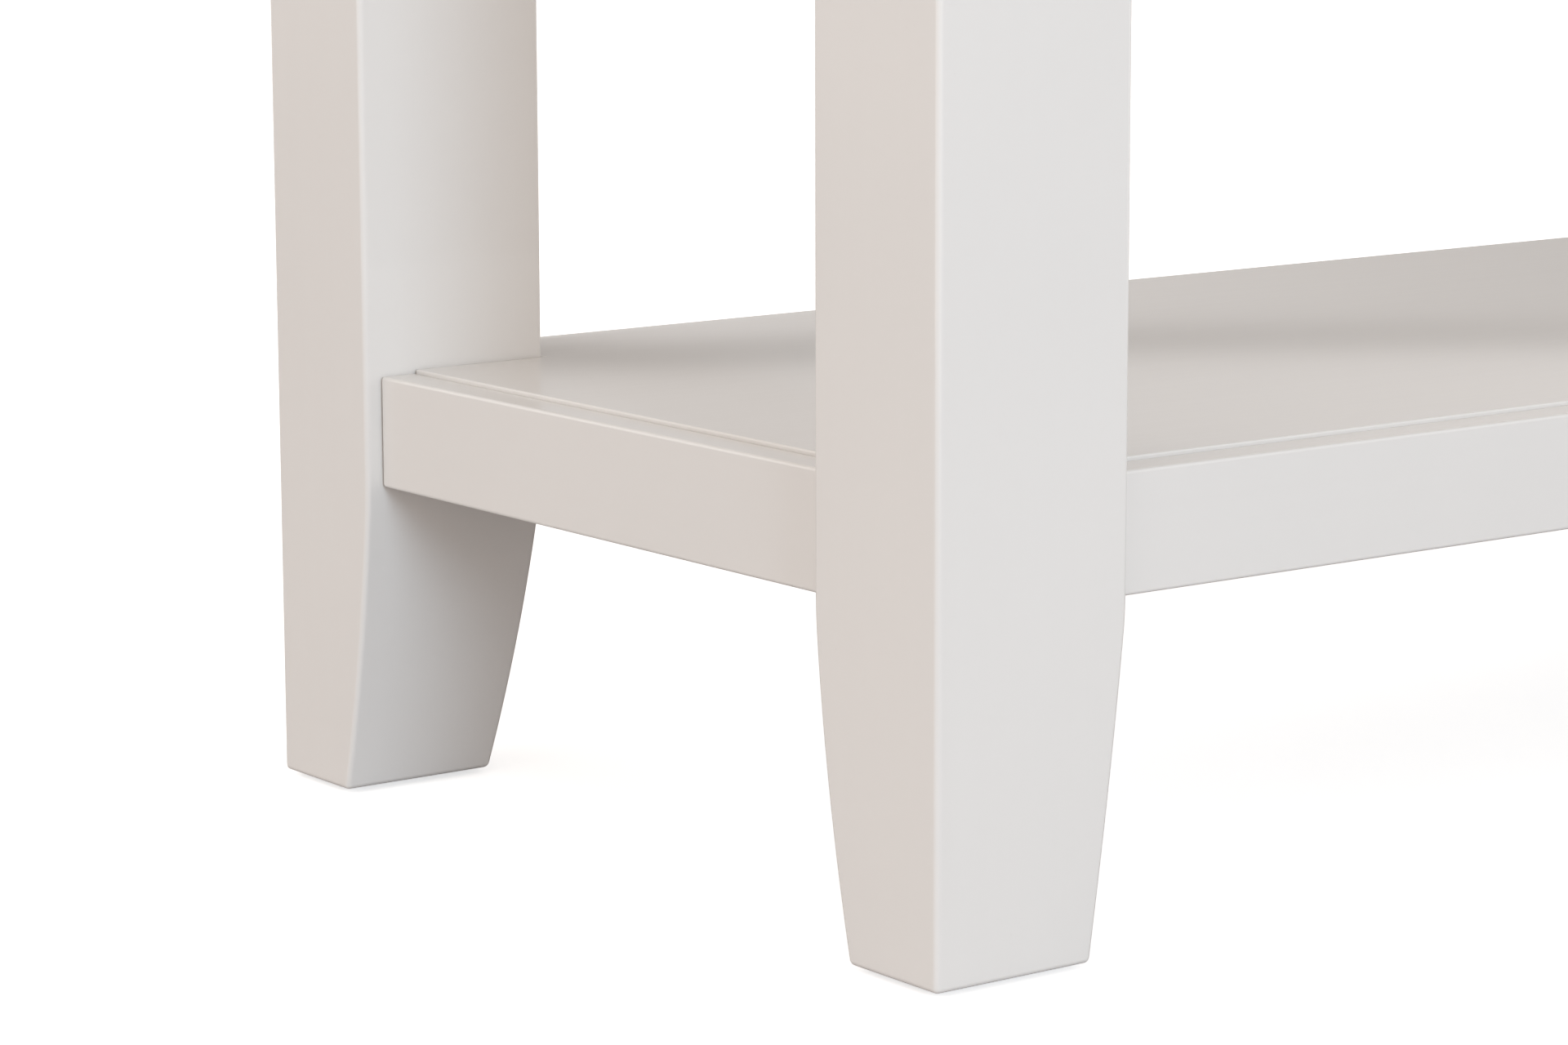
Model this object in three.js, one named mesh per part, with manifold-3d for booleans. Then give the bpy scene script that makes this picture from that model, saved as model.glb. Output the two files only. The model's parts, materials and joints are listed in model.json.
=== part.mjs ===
// A painted console table with two drawers and a low shelf, in millimetres.
// +Z is up, the drawers open towards -Y, and the origin is on the floor under the table's centre.
import * as THREE from "three";
import { mergeVertices } from "three/addons/utils/BufferGeometryUtils.js";
import Module from "manifold-3d";

const wasm = await Module();
wasm.setup();

// ---- Driving dimensions ----

const TABLE_HEIGHT = 780;
const FRAME_WIDTH = 970; // over the legs, along X
const FRAME_DEPTH = 282; // over the legs, along Y
const GAP = 0.3; // between two pieces that touch
const OVERCUT = 1; // how far a cutter reaches past the face that it opens

const TOP_THICKNESS = 22;
const TOP_OVERHANG = 20;
const TOP_EASE = 2.5;

const LEG_WIDTH = 55; // along X
const LEG_DEPTH = 45; // along Y
const LEG_EASE = 2;
const TAPER_TOP = 81; // height where the two inner faces start to taper
const TAPER_ACROSS = 10; // how much narrower the foot is, along X
const TAPER_DEEP = 13; // how much shallower the foot is, along Y
const TAPER_STEPS = 6;
const CURVE_ACROSS = 0.2; // how far each taper bows, from 0, straight, to 1, a parabola
const CURVE_DEEP = 0.5;

const GLIDE_THICKNESS = 1;
const GLIDE_RADIUS = 8;
const GLIDE_SEGMENTS = 24;

const SETBACK = 4.5; // from the legs' outer faces to the faces of the rails and aprons
const APRON_HEIGHT = 130;
const APRON_THICKNESS = 18;
const FRONT_RAIL_HEIGHT = 20;
const FRONT_RAIL_DEPTH = 40;
const DIVIDER_WIDTH = 24;
const TENON_LENGTH = 20;
const TENON_THICKNESS = 8;
const TENON_SHOULDER = 6; // above and below each tenon
const BOARD_EASE = 1.2;

const SHELF_RAIL_BOTTOM = 84;
const SHELF_RAIL_TOP = 113;
const SHELF_RAIL_THICKNESS = 20;
const PANEL_RISE = 1; // the shelf panel's face over the tops of its rails
const PANEL_INSET = 10.5; // from a rail's outer face to the panel's edge
const PANEL_THICKNESS = 12;
const PANEL_NOTCH_GAP = 0.5;
const BATTEN_WIDTH = 45;
const BATTEN_THICKNESS = 16;
const BATTEN_PLACE = 160; // from the table's centre, along X

const DRAWER_REVEAL = 2; // gap round a drawer front
const DRAWER_FRONT_THICKNESS = 18;
const DRAWER_FRONT_LIP = 1; // how far a drawer front reaches past each side board
const DRAWER_SIDE_THICKNESS = 12;
const DRAWER_SIDE_HEIGHT = 84;
const DRAWER_BACK_HEIGHT = 80;
const DRAWER_BACK_PLACE = 108; // the drawer's back end, along Y
const DRAWER_BOTTOM_THICKNESS = 5;
const DRAWER_BOTTOM_RISE = 6; // from the drawer sides' lower edges
const GROOVE_DEPTH = 5;

const RUNNER_HEIGHT = 20;
const RUNNER_LEDGE = 20;
const GUIDE_HEIGHT = 40;
const GUIDE_CLEARANCE = 1.3;
const KICKER_CLEARANCE = 2;
const STOP_LENGTH = 14;
const STOP_WIDTH = 40;
const STOP_HEIGHT = 6;

const KNOB_LENGTH = 22;
const KNOB_BASE_RADIUS = 9;
const KNOB_BASE_THICKNESS = 1.5;
const KNOB_NECK_RADIUS = 6;
const KNOB_NECK_MIDDLE = 8; // height where the neck is narrowest
const KNOB_HEAD_RADIUS = 16;
const KNOB_HEAD_UNDERSIDE = 13;
const KNOB_HEAD_WIDEST = 15; // height of the head's widest part
const KNOB_HEAD_EASE = 1.5;
const KNOB_HOLE_DEPTH = 11;
const KNOB_SEGMENTS = 20;
const KNOB_CURVE_STEPS = 3;

const CATCH_LENGTH = 60;
const CATCH_WIDTH = 18;
const CATCH_THICKNESS = 8;
const CATCH_DROP = 8; // from the drawer back's upper edge down to the catch's screw
const CATCH_CURVE_STEPS = 8;

const SCREW_SEGMENTS = 12;
const SCREW_HEAD_RADIUS = 4.2;
const SCREW_HEAD_HEIGHT = 2.5;
const SCREW_RADIUS = 2;
const SCREW_CLEARANCE = 0.4;
const SCREW_ACCESS = 5; // room cut below a screw's head
const TOP_SCREW_LENGTH = 35;
const TOP_SCREW_PLACE = [440, 60]; // along X and Y, in each quarter of the table
const SHELF_SCREW_LENGTH = 24;
const SHELF_SCREW_PLACE = 70; // along Y, on each batten
const KNOB_SCREW_LENGTH = 28;
const CATCH_SCREW_LENGTH = 17;

// ---- Places worked out from the driving dimensions ----

const halfWidth = FRAME_WIDTH / 2;
const halfDepth = FRAME_DEPTH / 2;
const legBottom = GLIDE_THICKNESS + GAP;
const frameTop = TABLE_HEIGHT - TOP_THICKNESS - GAP;
const apronBottom = TABLE_HEIGHT - TOP_THICKNESS - APRON_HEIGHT;
const legInnerX = halfWidth - LEG_WIDTH;
const legInnerY = halfDepth - LEG_DEPTH;
const railFaceX = halfWidth - SETBACK;
const railFaceY = halfDepth - SETBACK;
const apronInnerX = railFaceX - APRON_THICKNESS;
const apronInnerY = railFaceY - APRON_THICKNESS;
const lowerRailTop = apronBottom + FRONT_RAIL_HEIGHT;
const upperRailBottom = TABLE_HEIGHT - TOP_THICKNESS - FRONT_RAIL_HEIGHT;
const frontRailBackY = -railFaceY + FRONT_RAIL_DEPTH;
const panelTop = SHELF_RAIL_TOP + PANEL_RISE;
const panelBottom = panelTop - PANEL_THICKNESS;
const battenBottom = panelBottom - GAP - BATTEN_THICKNESS;
const panelEdgeX = railFaceX - PANEL_INSET;
const panelEdgeY = railFaceY - PANEL_INSET;
const shelfRailInnerY = railFaceY - SHELF_RAIL_THICKNESS;

const openingWidth = legInnerX - DIVIDER_WIDTH / 2;
const drawerCentreX = DIVIDER_WIDTH / 2 + openingWidth / 2;
const drawerFrontWidth = openingWidth - 2 * DRAWER_REVEAL;
const drawerBottomZ = lowerRailTop + DRAWER_REVEAL;
const drawerFrontTop = upperRailBottom - DRAWER_REVEAL;
const drawerFrontBackY = -railFaceY + DRAWER_FRONT_THICKNESS;
const drawerHalf = drawerFrontWidth / 2 - DRAWER_FRONT_LIP; // half the width over the side boards
const drawerSideTop = drawerBottomZ + DRAWER_SIDE_HEIGHT;
const drawerBackFrontY = DRAWER_BACK_PLACE - DRAWER_SIDE_THICKNESS;
const catchScrewStart = drawerBackFrontY - CATCH_THICKNESS - 2 * GAP - SCREW_HEAD_HEIGHT;
const panelFloor = drawerBottomZ + DRAWER_BOTTOM_RISE;
const knobHeight = (drawerBottomZ + drawerFrontTop) / 2;
const catchHeight = drawerBottomZ + DRAWER_BACK_HEIGHT - CATCH_DROP;
const runnerTop = drawerBottomZ - GAP;
const kickerBottom = drawerSideTop + KICKER_CLEARANCE;

// ---- Materials ----

function finish(color, roughness, metalness = 0) {
  return () => new THREE.MeshStandardMaterial({ color, roughness, metalness });
}

const paint = finish(0xe4e1dc, 0.42);
const bareWood = finish(0xcaa777, 0.7);
const plywood = finish(0xc9ab80, 0.65);
const brushedSteel = finish(0xa9a7a2, 0.35, 1);
const screwSteel = finish(0x8d8c89, 0.45, 1);
const glidePlastic = finish(0x9b968e, 0.8);

// ---- Shape helpers. A span is { x: [low, high], y: [low, high], z: [low, high] }. ----

function solidOf(geometry) {
  const bare = geometry.clone();
  bare.deleteAttribute("normal");
  bare.deleteAttribute("uv");
  const merged = mergeVertices(bare, 1e-4);
  const mesh = new wasm.Mesh({
    numProp: 3,
    vertProperties: merged.attributes.position.array,
    triVerts: new Uint32Array(merged.index.array),
  });
  return new wasm.Manifold(mesh);
}

function geometryOf(solid) {
  const mesh = solid.getMesh();
  const geometry = new THREE.BufferGeometry();
  geometry.setAttribute("position", new THREE.BufferAttribute(mesh.vertProperties, 3));
  geometry.setIndex(new THREE.BufferAttribute(mesh.triVerts, 1));
  geometry.computeVertexNormals();
  return geometry;
}

function cut(geometry, ...cutters) {
  const solid = cutters.reduce((left, cutter) => left.subtract(solidOf(cutter)), solidOf(geometry));
  return geometryOf(solid);
}

function join(geometry, ...others) {
  const solid = others.reduce((whole, other) => whole.add(solidOf(other)), solidOf(geometry));
  return geometryOf(solid);
}

function grow(span, by) {
  const wider = ([low, high]) => [low - by, high + by];
  return { x: wider(span.x), y: wider(span.y), z: wider(span.z) };
}

// The same span in another quarter of the table; signs of -1 mirror it.
function inQuarter(span, signX, signY) {
  const turned = ([low, high], sign) => (sign > 0 ? [low, high] : [-high, -low]);
  return { x: turned(span.x, signX), y: turned(span.y, signY), z: span.z };
}

function block({ x, y, z }) {
  const geometry = new THREE.BoxGeometry(x[1] - x[0], y[1] - y[0], z[1] - z[0]);
  return geometry.translate((x[0] + x[1]) / 2, (y[0] + y[1]) / 2, (z[0] + z[1]) / 2);
}

// A board whose twelve edges are all eased by a small flat.
function easedBoard({ x, y, z }, ease) {
  const outline = new THREE.Shape();
  outline.moveTo(x[0] + ease, y[0]);
  outline.lineTo(x[1] - ease, y[0]);
  outline.lineTo(x[1], y[0] + ease);
  outline.lineTo(x[1], y[1] - ease);
  outline.lineTo(x[1] - ease, y[1]);
  outline.lineTo(x[0] + ease, y[1]);
  outline.lineTo(x[0], y[1] - ease);
  outline.lineTo(x[0], y[0] + ease);
  const geometry = new THREE.ExtrudeGeometry(outline, {
    depth: z[1] - z[0] - 2 * ease,
    bevelThickness: ease,
    bevelSize: ease,
    bevelOffset: -ease,
    bevelSegments: 1,
  });
  return geometry.translate(0, 0, z[0] + ease);
}

// A straight piece with the same section all along Y; the section's corners are [x, z] pairs.
function moulding(corners, [front, back]) {
  const section = new THREE.Shape(corners.map(([x, z]) => new THREE.Vector2(x, z)));
  const geometry = new THREE.ExtrudeGeometry(section, { depth: back - front, bevelEnabled: false });
  return geometry.rotateX(Math.PI / 2).translate(0, back, 0);
}

// A round piece from an outline of [radius, height] points, standing on Z = 0.
function turned(outline, segments) {
  const points = outline.map(([radius, height]) => new THREE.Vector2(radius, height));
  return new THREE.LatheGeometry(points, segments).rotateX(Math.PI / 2);
}

function screw(length) {
  const outline = [
    [0, 0],
    [SCREW_HEAD_RADIUS, 0],
    [SCREW_HEAD_RADIUS, SCREW_HEAD_HEIGHT],
    [SCREW_RADIUS, SCREW_HEAD_HEIGHT],
    [SCREW_RADIUS, length],
    [0, length],
  ];
  return turned(outline, SCREW_SEGMENTS);
}

// The room that a screw needs, open below its head.
function screwHole(length) {
  const head = SCREW_HEAD_RADIUS + SCREW_CLEARANCE;
  const shank = SCREW_RADIUS + SCREW_CLEARANCE;
  const outline = [
    [0, -SCREW_ACCESS],
    [head, -SCREW_ACCESS],
    [head, SCREW_HEAD_HEIGHT + GAP],
    [shank, SCREW_HEAD_HEIGHT + GAP],
    [shank, length + OVERCUT],
    [0, length + OVERCUT],
  ];
  return turned(outline, SCREW_SEGMENTS);
}

function piece(parent, name, geometry, material) {
  const mesh = new THREE.Mesh(geometry, material());
  mesh.name = name;
  parent.add(mesh);
  return mesh;
}

// ---- Tenons: short tongues on the ends of the rails, in slots cut in the legs ----

// A tongue that runs along X, for the front-left quarter mirrored into the one asked for.
function tenonAlongX(low, high, depthFrom, signX, signY) {
  const middle = railFaceY - depthFrom;
  const span = {
    x: [legInnerX - OVERCUT, legInnerX + TENON_LENGTH],
    y: [middle - TENON_THICKNESS / 2, middle + TENON_THICKNESS / 2],
    z: [low + TENON_SHOULDER, high - TENON_SHOULDER],
  };
  return inQuarter(span, signX, signY);
}

function tenonAlongY(low, high, depthFrom, signX, signY) {
  const middle = railFaceX - depthFrom;
  const span = {
    x: [middle - TENON_THICKNESS / 2, middle + TENON_THICKNESS / 2],
    y: [legInnerY - OVERCUT, legInnerY + TENON_LENGTH],
    z: [low + TENON_SHOULDER, high - TENON_SHOULDER],
  };
  return inQuarter(span, signX, signY);
}

// Every tenon that enters the leg in one quarter.
function tenonsInLeg(signX, signY) {
  const shelfMiddle = SHELF_RAIL_THICKNESS / 2;
  const apronMiddle = APRON_THICKNESS / 2;
  const tenons = [
    tenonAlongX(SHELF_RAIL_BOTTOM, SHELF_RAIL_TOP, shelfMiddle, signX, signY),
    tenonAlongY(SHELF_RAIL_BOTTOM, SHELF_RAIL_TOP, shelfMiddle, signX, signY),
    tenonAlongY(apronBottom, frameTop, apronMiddle, signX, signY),
  ];
  if (signY > 0) tenons.push(tenonAlongX(apronBottom, frameTop, apronMiddle, signX, signY));
  else tenons.push(...frontRailTenons(signX));
  return tenons;
}

function frontRailTenons(signX) {
  const middle = FRONT_RAIL_DEPTH / 2;
  return [
    tenonAlongX(apronBottom, lowerRailTop, middle, signX, -1),
    tenonAlongX(upperRailBottom, frameTop, middle, signX, -1),
  ];
}

// ---- Legs and glides ----

// How far a tapered face has moved in at a height, as a part of its whole taper.
function taperShare(height, curve) {
  const down = Math.max(0, (TAPER_TOP - height) / (TAPER_TOP - legBottom));
  return (1 - curve) * down + curve * down * down;
}

function legRing(height, inset, signX, signY) {
  const far = LEG_WIDTH - TAPER_ACROSS * taperShare(height, CURVE_ACROSS) - inset;
  const deep = LEG_DEPTH - TAPER_DEEP * taperShare(height, CURVE_DEEP) - inset;
  const near = inset;
  const ease = LEG_EASE;
  const corners = [
    [near + ease, near],
    [far - ease, near],
    [far, near + ease],
    [far, deep - ease],
    [far - ease, deep],
    [near + ease, deep],
    [near, deep - ease],
    [near, near + ease],
  ];
  const ring = corners.map(([inX, inY]) => {
    const x = signX * (halfWidth - inX);
    const y = signY * (halfDepth - inY);
    return new THREE.Vector3(x, y, height);
  });
  return signX * signY > 0 ? ring : ring.reverse();
}

// A closed skin through rings of equal length, lowest first, each anticlockwise from above.
function loft(rings) {
  const count = rings[0].length;
  const last = (rings.length - 1) * count;
  const faces = [];
  for (let level = 0; level < rings.length - 1; level++) {
    for (let i = 0; i < count; i++) {
      const a = level * count + i;
      const b = level * count + ((i + 1) % count);
      faces.push(a, b, b + count, a, b + count, a + count);
    }
  }
  for (let i = 1; i < count - 1; i++) {
    faces.push(0, i + 1, i);
    faces.push(last, last + i, last + i + 1);
  }
  const geometry = new THREE.BufferGeometry().setFromPoints(rings.flat());
  geometry.setIndex(faces);
  return geometry;
}

function legGeometry(signX, signY) {
  const rings = [legRing(legBottom, LEG_EASE, signX, signY)];
  const firstHeight = legBottom + LEG_EASE;
  for (let step = 0; step <= TAPER_STEPS; step++) {
    const height = firstHeight + ((TAPER_TOP - firstHeight) * step) / TAPER_STEPS;
    rings.push(legRing(height, 0, signX, signY));
  }
  rings.push(legRing(frameTop, 0, signX, signY));
  const slots = tenonsInLeg(signX, signY).map((span) => block(grow(span, GAP)));
  return cut(loft(rings), ...slots);
}

function glideGeometry(signX, signY) {
  const disc = new THREE.CylinderGeometry(GLIDE_RADIUS, GLIDE_RADIUS, GLIDE_THICKNESS, GLIDE_SEGMENTS);
  const inX = (LEG_WIDTH - TAPER_ACROSS) / 2;
  const inY = (LEG_DEPTH - TAPER_DEEP) / 2;
  disc.rotateX(Math.PI / 2);
  return disc.translate(signX * (halfWidth - inX), signY * (halfDepth - inY), GLIDE_THICKNESS / 2);
}

function addLegs(parent) {
  for (const [end, signY] of [["front", -1], ["rear", 1]]) {
    for (const [side, signX] of [["left", -1], ["right", 1]]) {
      piece(parent, `leg_${end}_${side}`, legGeometry(signX, signY), paint);
      piece(parent, `glide_${end}_${side}`, glideGeometry(signX, signY), glidePlastic);
    }
  }
}

// ---- Upper frame ----

function addAprons(parent) {
  const z = [apronBottom, frameTop];
  for (const [side, signX] of [["left", -1], ["right", 1]]) {
    const span = { x: [apronInnerX, railFaceX], y: [GAP - legInnerY, legInnerY - GAP], z };
    const board = easedBoard(inQuarter(span, signX, 1), BOARD_EASE);
    const tenons = [-1, 1].map((signY) => tenonAlongY(...z, APRON_THICKNESS / 2, signX, signY));
    piece(parent, `apron_${side}`, join(board, ...tenons.map(block)), paint);
  }
  const back = { x: [GAP - legInnerX, legInnerX - GAP], y: [apronInnerY, railFaceY], z };
  const tenons = [-1, 1].map((signX) => tenonAlongX(...z, APRON_THICKNESS / 2, signX, 1));
  piece(parent, "apron_back", join(easedBoard(back, BOARD_EASE), ...tenons.map(block)), paint);
}

function addFrontRails(parent) {
  const x = [GAP - legInnerX, legInnerX - GAP];
  const y = [-railFaceY, frontRailBackY];
  const rails = [
    ["front_rail_lower", [apronBottom, lowerRailTop]],
    ["front_rail_upper", [upperRailBottom, frameTop]],
  ];
  rails.forEach(([name, z], index) => {
    const tenons = [-1, 1].map((signX) => frontRailTenons(signX)[index]);
    piece(parent, name, join(easedBoard({ x, y, z }, BOARD_EASE), ...tenons.map(block)), paint);
  });
  const half = DIVIDER_WIDTH / 2;
  const divider = { x: [-half, half], y, z: [lowerRailTop + GAP, upperRailBottom - GAP] };
  piece(parent, "drawer_divider", easedBoard(divider, BOARD_EASE), paint);
}

// Runners carry the drawer sides' lower edges and guide them sideways.
function addRunners(parent) {
  const bottom = runnerTop - RUNNER_HEIGHT;
  const guideTop = runnerTop + GUIDE_HEIGHT;
  const drawerOuter = drawerCentreX + drawerHalf;
  const guideFace = drawerOuter + GUIDE_CLEARANCE;
  const ledge = guideFace - RUNNER_LEDGE;
  const wall = apronInnerX - GAP;
  const section = [[ledge, bottom], [wall, bottom], [wall, guideTop], [guideFace, guideTop]];
  section.push([guideFace, runnerTop], [ledge, runnerTop]);
  const length = [GAP - legInnerY, legInnerY - GAP];
  piece(parent, "drawer_runner_right", moulding(section, length), bareWood);
  const mirrored = section.map(([x, z]) => [-x, z]).reverse();
  piece(parent, "drawer_runner_left", moulding(mirrored, length), bareWood);

  const fin = drawerCentreX - drawerHalf - GUIDE_CLEARANCE;
  const reach = fin + RUNNER_LEDGE;
  const half = [[reach, bottom], [reach, runnerTop], [fin, runnerTop], [fin, guideTop]];
  const whole = [...half, ...half.map(([x, z]) => [-x, z]).reverse()];
  const centreLength = [frontRailBackY + GAP, apronInnerY - GAP];
  piece(parent, "drawer_runner_center", moulding(whole, centreLength), bareWood);
}

// Kickers keep an open drawer from tipping, and the top board is screwed on through them.
function addKickers(parent) {
  const z = [kickerBottom, frameTop];
  const ledge = drawerCentreX + drawerHalf + GUIDE_CLEARANCE - RUNNER_LEDGE;
  for (const [side, signX] of [["left", -1], ["right", 1]]) {
    const span = { x: [ledge, apronInnerX - GAP], y: [GAP - legInnerY, legInnerY - GAP], z };
    const holes = [-1, 1].map((signY) => topScrewHole(signX, signY));
    piece(parent, `kicker_${side}`, cut(block(inQuarter(span, signX, 1)), ...holes), bareWood);
  }
  const half = drawerCentreX - drawerHalf - GUIDE_CLEARANCE + RUNNER_LEDGE;
  const centre = { x: [-half, half], y: [frontRailBackY + GAP, apronInnerY - GAP], z };
  piece(parent, "kicker_center", block(centre), bareWood);
}

function addDrawerStops(parent) {
  for (const [side, signX] of [["left", -1], ["right", 1]]) {
    const middle = signX * drawerCentreX;
    const span = {
      x: [middle - STOP_WIDTH / 2, middle + STOP_WIDTH / 2],
      y: [drawerFrontBackY + GAP, drawerFrontBackY + GAP + STOP_LENGTH],
      z: [lowerRailTop + GAP, lowerRailTop + GAP + STOP_HEIGHT],
    };
    piece(parent, `drawer_stop_${side}`, block(span), bareWood);
  }
}

// ---- Top board ----

function topScrewHole(signX, signY) {
  const [x, y] = TOP_SCREW_PLACE;
  return screwHole(TOP_SCREW_LENGTH).translate(signX * x, signY * y, kickerBottom + GAP);
}

function addTop(parent) {
  const x = halfWidth + TOP_OVERHANG;
  const y = halfDepth + TOP_OVERHANG;
  const span = { x: [-x, x], y: [-y, y], z: [TABLE_HEIGHT - TOP_THICKNESS, TABLE_HEIGHT] };
  const holes = [];
  let number = 1;
  for (const signX of [-1, 1]) {
    for (const signY of [-1, 1]) {
      holes.push(topScrewHole(signX, signY));
      const mesh = piece(parent, `top_screw_${number}`, screw(TOP_SCREW_LENGTH), screwSteel);
      const [placeX, placeY] = TOP_SCREW_PLACE;
      mesh.position.set(signX * placeX, signY * placeY, kickerBottom + GAP);
      number += 1;
    }
  }
  piece(parent, "top_board", cut(easedBoard(span, TOP_EASE), ...holes), paint);
}

// ---- Shelf ----

// Each rail has a step along its inner top edge that the panel lies in.
function addShelfRails(parent) {
  const z = [SHELF_RAIL_BOTTOM, SHELF_RAIL_TOP];
  const stepZ = [panelBottom - GAP, SHELF_RAIL_TOP + OVERCUT];
  const middle = SHELF_RAIL_THICKNESS / 2;
  for (const [end, signY] of [["front", -1], ["back", 1]]) {
    const span = { x: [GAP - legInnerX, legInnerX - GAP], y: [shelfRailInnerY, railFaceY], z };
    const step = { x: [-halfWidth, halfWidth], y: [0, panelEdgeY + GAP], z: stepZ };
    const board = easedBoard(inQuarter(span, 1, signY), BOARD_EASE);
    const tenons = [-1, 1].map((signX) => block(tenonAlongX(...z, middle, signX, signY)));
    const rail = cut(join(board, ...tenons), block(inQuarter(step, 1, signY)));
    piece(parent, `shelf_rail_${end}`, rail, paint);
  }
  const innerX = railFaceX - SHELF_RAIL_THICKNESS;
  for (const [side, signX] of [["left", -1], ["right", 1]]) {
    const span = { x: [innerX, railFaceX], y: [GAP - legInnerY, legInnerY - GAP], z };
    const step = { x: [0, panelEdgeX + GAP], y: [-halfDepth, halfDepth], z: stepZ };
    const board = easedBoard(inQuarter(span, signX, 1), BOARD_EASE);
    const tenons = [-1, 1].map((signY) => block(tenonAlongY(...z, middle, signX, signY)));
    const rail = cut(join(board, ...tenons), block(inQuarter(step, signX, 1)));
    piece(parent, `shelf_rail_${side}`, rail, paint);
  }
}

function shelfScrewHole(signX, signY) {
  const hole = screwHole(SHELF_SCREW_LENGTH);
  return hole.translate(signX * BATTEN_PLACE, signY * SHELF_SCREW_PLACE, battenBottom + GAP);
}

// The panel is one board with a notch round each leg.
function addShelfPanel(parent) {
  const span = { x: [-panelEdgeX, panelEdgeX], y: [-panelEdgeY, panelEdgeY], z: [panelBottom, panelTop] };
  const cutters = [];
  for (const signX of [-1, 1]) {
    for (const signY of [-1, 1]) {
      const notch = {
        x: [legInnerX - PANEL_NOTCH_GAP, halfWidth],
        y: [legInnerY - PANEL_NOTCH_GAP, halfDepth],
        z: [panelBottom - OVERCUT, panelTop + OVERCUT],
      };
      cutters.push(block(inQuarter(notch, signX, signY)));
      cutters.push(shelfScrewHole(signX, signY));
    }
  }
  piece(parent, "shelf_panel", cut(easedBoard(span, BOARD_EASE), ...cutters), paint);
}

function addBattens(parent) {
  let number = 1;
  for (const [side, signX] of [["left", -1], ["right", 1]]) {
    const middle = signX * BATTEN_PLACE;
    const span = {
      x: [middle - BATTEN_WIDTH / 2, middle + BATTEN_WIDTH / 2],
      y: [GAP - shelfRailInnerY, shelfRailInnerY - GAP],
      z: [battenBottom, battenBottom + BATTEN_THICKNESS],
    };
    const holes = [-1, 1].map((signY) => shelfScrewHole(signX, signY));
    piece(parent, `shelf_batten_${side}`, cut(block(span), ...holes), paint);
    for (const signY of [-1, 1]) {
      const mesh = piece(parent, `shelf_screw_${number}`, screw(SHELF_SCREW_LENGTH), screwSteel);
      mesh.position.set(middle, signY * SHELF_SCREW_PLACE, battenBottom + GAP);
      number += 1;
    }
  }
}

// ---- Drawers, each built round X = 0 and then moved to its opening ----

function drawerFront() {
  const half = drawerFrontWidth / 2;
  const span = {
    x: [-half, half],
    y: [-railFaceY, drawerFrontBackY],
    z: [drawerBottomZ, drawerFrontTop],
  };
  const grooveHalf = drawerHalf - DRAWER_SIDE_THICKNESS + GROOVE_DEPTH;
  const groove = {
    x: [-grooveHalf, grooveHalf],
    y: [drawerFrontBackY - GROOVE_DEPTH, drawerFrontBackY + OVERCUT],
    z: [panelFloor - GAP, panelFloor + DRAWER_BOTTOM_THICKNESS + GAP],
  };
  return cut(easedBoard(span, BOARD_EASE), block(groove), knobScrewHole());
}

function drawerSide(signX) {
  const inner = drawerHalf - DRAWER_SIDE_THICKNESS;
  const span = {
    x: [inner, drawerHalf],
    y: [drawerFrontBackY + GAP, DRAWER_BACK_PLACE],
    z: [drawerBottomZ, drawerSideTop],
  };
  const groove = {
    x: [inner - OVERCUT, inner + GROOVE_DEPTH],
    y: [drawerFrontBackY, DRAWER_BACK_PLACE + OVERCUT],
    z: [panelFloor - GAP, panelFloor + DRAWER_BOTTOM_THICKNESS + GAP],
  };
  return cut(block(inQuarter(span, signX, 1)), block(inQuarter(groove, signX, 1)));
}

function drawerBack() {
  const half = drawerHalf - DRAWER_SIDE_THICKNESS - GAP;
  const span = {
    x: [-half, half],
    y: [drawerBackFrontY, DRAWER_BACK_PLACE],
    z: [panelFloor + DRAWER_BOTTOM_THICKNESS + GAP, drawerBottomZ + DRAWER_BACK_HEIGHT],
  };
  return cut(block(span), catchScrewHole());
}

function drawerBottom() {
  const half = drawerHalf - DRAWER_SIDE_THICKNESS + GROOVE_DEPTH - GAP;
  return block({
    x: [-half, half],
    y: [drawerFrontBackY - GROOVE_DEPTH + GAP, DRAWER_BACK_PLACE],
    z: [panelFloor, panelFloor + DRAWER_BOTTOM_THICKNESS],
  });
}

// The hole for the knob's screw, right through the drawer front.
function knobScrewHole() {
  const radius = SCREW_RADIUS + SCREW_CLEARANCE;
  const shank = new THREE.CylinderGeometry(radius, radius, KNOB_SCREW_LENGTH, SCREW_SEGMENTS);
  return shank.translate(0, drawerFrontBackY + OVERCUT - KNOB_SCREW_LENGTH / 2, knobHeight);
}

function catchScrewHole() {
  const radius = SCREW_RADIUS + SCREW_CLEARANCE;
  const length = CATCH_SCREW_LENGTH + SCREW_CLEARANCE;
  const shank = new THREE.CylinderGeometry(radius, radius, length, SCREW_SEGMENTS);
  return shank.translate(0, catchScrewStart + length / 2, catchHeight);
}

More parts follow.
